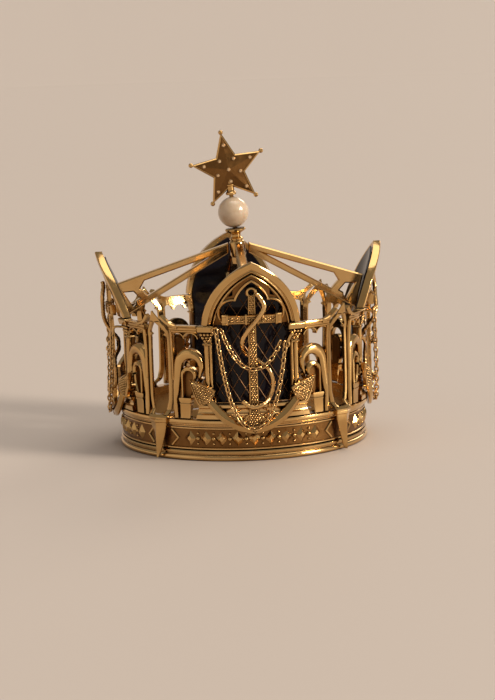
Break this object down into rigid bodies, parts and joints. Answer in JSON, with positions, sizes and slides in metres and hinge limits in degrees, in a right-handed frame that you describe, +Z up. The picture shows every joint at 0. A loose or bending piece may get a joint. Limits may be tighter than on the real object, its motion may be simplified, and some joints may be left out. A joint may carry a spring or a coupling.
{
  "type": "ornamental crown",
  "caption": "Small Gothic arcade crown: hoop, flared pointed arches with anchors and swinging chain swags, keels, ribs to a hub, pearl and turning star",
  "frame": {"origin": "On the crown's axis, at the level of the surface that the hoop stands on.", "axes": "+Z up along the crown's axis, -Y out of the front window, +X to the right when facing the front."},
  "size_m": [0.12, 0.12, 0.1294],
  "materials": {
    "polished_gold": "polished",
    "satin_gold": "chased satin",
    "dark_enamel": "dark enamel",
    "pearl": "pearl lustre"
  },
  "bodies": {
    "crown": {"lower_rim": "polished_gold", "inscription_band": "satin_gold", "upper_flange": "polished_gold", "sill_front": "polished_gold", "arch_frame_front": "polished_gold", "trefoil_tracery_front": "polished_gold", "window_backing_front": "dark_enamel", "anchor_front": "satin_gold", "anchor_stock_front": "polished_gold", "anchor_rope_front": "polished_gold", "rib_front": "polished_gold", "sill_right": "polished_gold", "arch_frame_right": "polished_gold", "trefoil_tracery_right": "polished_gold", "window_backing_right": "dark_enamel", "anchor_right": "satin_gold", "anchor_stock_right": "polished_gold", "anchor_rope_right": "polished_gold", "rib_right": "polished_gold", "sill_back": "polished_gold", "arch_frame_back": "polished_gold", "trefoil_tracery_back": "polished_gold", "window_backing_back": "dark_enamel", "anchor_back": "satin_gold", "anchor_stock_back": "polished_gold", "anchor_rope_back": "polished_gold", "rib_back": "polished_gold", "sill_left": "polished_gold", "arch_frame_left": "polished_gold", "trefoil_tracery_left": "polished_gold", "window_backing_left": "dark_enamel", "anchor_left": "satin_gold", "anchor_stock_left": "polished_gold", "anchor_rope_left": "polished_gold", "rib_left": "polished_gold", "keel_front_right": "polished_gold", "grille_front_right_a": "polished_gold", "grille_front_right_b": "polished_gold", "keel_back_right": "polished_gold", "grille_back_right_a": "polished_gold", "grille_back_right_b": "polished_gold", "keel_back_left": "polished_gold", "grille_back_left_a": "polished_gold", "grille_back_left_b": "polished_gold", "keel_front_left": "polished_gold", "grille_front_left_a": "polished_gold", "grille_front_left_b": "polished_gold", "hub": "polished_gold", "hub_nut": "polished_gold", "star_pin": "polished_gold", "pearl": "pearl"},
    "short_chain_front": {"short_chain_front": "satin_gold"},
    "long_chain_front": {"long_chain_front": "satin_gold"},
    "short_chain_right": {"short_chain_right": "satin_gold"},
    "long_chain_right": {"long_chain_right": "satin_gold"},
    "short_chain_back": {"short_chain_back": "satin_gold"},
    "long_chain_back": {"long_chain_back": "satin_gold"},
    "short_chain_left": {"short_chain_left": "satin_gold"},
    "long_chain_left": {"long_chain_left": "satin_gold"},
    "star": {"star": "satin_gold"}
  },
  "joints": [
    {"name": "short_chain_front_swing", "type": "hinge", "parent": "crown", "child": "short_chain_front", "pos_m": [-0.00065, -0.0544, 0.05025], "axis": [-0.9727, 0, 0.2321], "range_deg": [0, 70]},
    {"name": "long_chain_front_swing", "type": "hinge", "parent": "crown", "child": "long_chain_front", "pos_m": [-0.00065, -0.0544, 0.05025], "axis": [-0.9727, 0, 0.2321], "range_deg": [0, 70]},
    {"name": "short_chain_right_swing", "type": "hinge", "parent": "crown", "child": "short_chain_right", "pos_m": [0.0544, -0.00065, 0.05025], "axis": [0, -0.9727, 0.2321], "range_deg": [0, 70]},
    {"name": "long_chain_right_swing", "type": "hinge", "parent": "crown", "child": "long_chain_right", "pos_m": [0.0544, -0.00065, 0.05025], "axis": [0, -0.9727, 0.2321], "range_deg": [0, 70]},
    {"name": "short_chain_back_swing", "type": "hinge", "parent": "crown", "child": "short_chain_back", "pos_m": [0.00065, 0.0544, 0.05025], "axis": [0.9727, 0, 0.2321], "range_deg": [0, 70]},
    {"name": "long_chain_back_swing", "type": "hinge", "parent": "crown", "child": "long_chain_back", "pos_m": [0.00065, 0.0544, 0.05025], "axis": [0.9727, 0, 0.2321], "range_deg": [0, 70]},
    {"name": "short_chain_left_swing", "type": "hinge", "parent": "crown", "child": "short_chain_left", "pos_m": [-0.0544, 0.00065, 0.05025], "axis": [0, 0.9727, 0.2321], "range_deg": [0, 70]},
    {"name": "long_chain_left_swing", "type": "hinge", "parent": "crown", "child": "long_chain_left", "pos_m": [-0.0544, 0.00065, 0.05025], "axis": [0, 0.9727, 0.2321], "range_deg": [0, 70]},
    {"name": "star_turn", "type": "hinge", "parent": "crown", "child": "star", "pos_m": [-0.00131, 0, 0.09154], "axis": [-0.0872, 0, 0.9962], "continuous": true}
  ]
}
